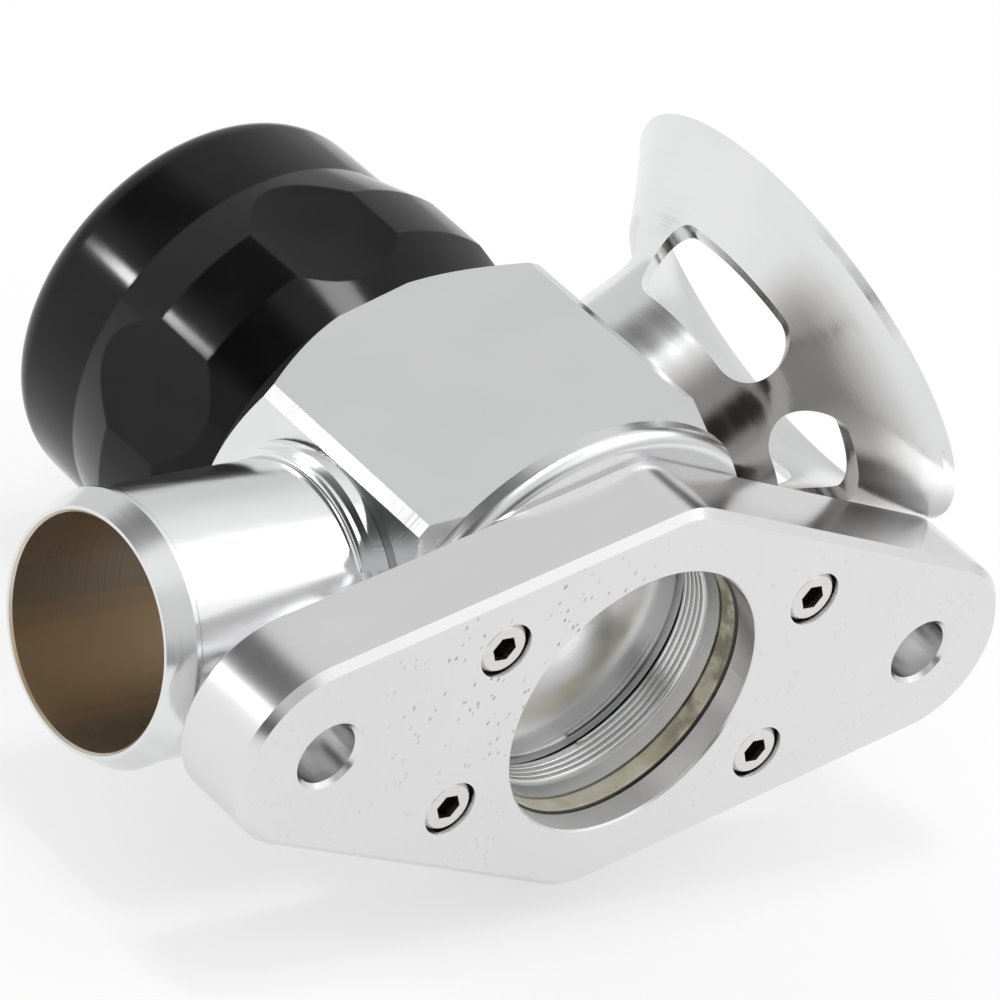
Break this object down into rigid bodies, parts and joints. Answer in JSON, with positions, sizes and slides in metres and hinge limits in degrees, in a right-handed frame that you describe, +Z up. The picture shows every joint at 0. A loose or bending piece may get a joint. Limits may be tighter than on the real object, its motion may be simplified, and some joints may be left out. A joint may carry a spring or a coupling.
{
  "type": "blow off valve",
  "caption": "Flange-mounted piston blow off valve with a hose outlet, a flared slotted trumpet outlet and a fluted black cap that sets the spring's preload.",
  "frame": {"origin": "centre of the inlet bore on the flange's mating face, midway between the two mounting holes", "axes": "+Y along the piston from the mating face to the cap, +X along the flange from the hose outlet's end to the trumpet's end, +Z up"},
  "size_m": [0.099, 0.0879, 0.069],
  "materials": {
    "machined_aluminium": "polished machined, clear",
    "piston_aluminium": "fine turned, bright",
    "black_anodised": "glossy black anodised",
    "screw_steel": "bright steel",
    "spring_steel": "drawn wire, satin",
    "nipple_brass": "turned brass",
    "black_rubber": "matt",
    "pale_seal": "pale, slightly yellow",
    "wear_band": "filled bearing plastic"
  },
  "bodies": {
    "root": {"flange_plate": "machined_aluminium", "flange_screws": "screw_steel", "flange_seal": "pale_seal", "valve_body": "machined_aluminium", "hose_outlet": "machined_aluminium", "hose_outlet_o_ring": "black_rubber", "trumpet": "machined_aluminium", "trumpet_o_ring": "black_rubber", "cap_o_ring": "black_rubber"},
    "piston": {"piston": "piston_aluminium", "piston_nose_seal": "black_rubber", "piston_o_rings": "black_rubber", "piston_wear_band": "wear_band"},
    "preload": {"spring_seat": "piston_aluminium", "spring_washer": "spring_steel", "spring": "spring_steel"},
    "cap": {"cap": "black_anodised", "vacuum_nipple": "nipple_brass", "nipple_seal": "black_rubber"}
  },
  "joints": [
    {"name": "piston_slide", "type": "slide", "parent": "root", "child": "piston", "axis": [0, 1, 0], "range_m": [0, 0.014], "stiffness_N_per_m": 2000, "springref_m": -0.02, "deforming": ["spring"]},
    {"name": "preload_slide", "type": "slide", "parent": "root", "child": "preload", "axis": [0, 1, 0], "range_m": [0, 0.00451]},
    {"name": "cap_turn", "type": "hinge", "parent": "preload", "child": "cap", "pos_m": [0, 0.06, 0], "axis": [0, 1, 0], "range_deg": [0, 1080]}
  ],
  "couplings": [
    {"joint": "preload_slide", "follows": "cap_turn", "m_per_rad": 0.00023873}
  ]
}
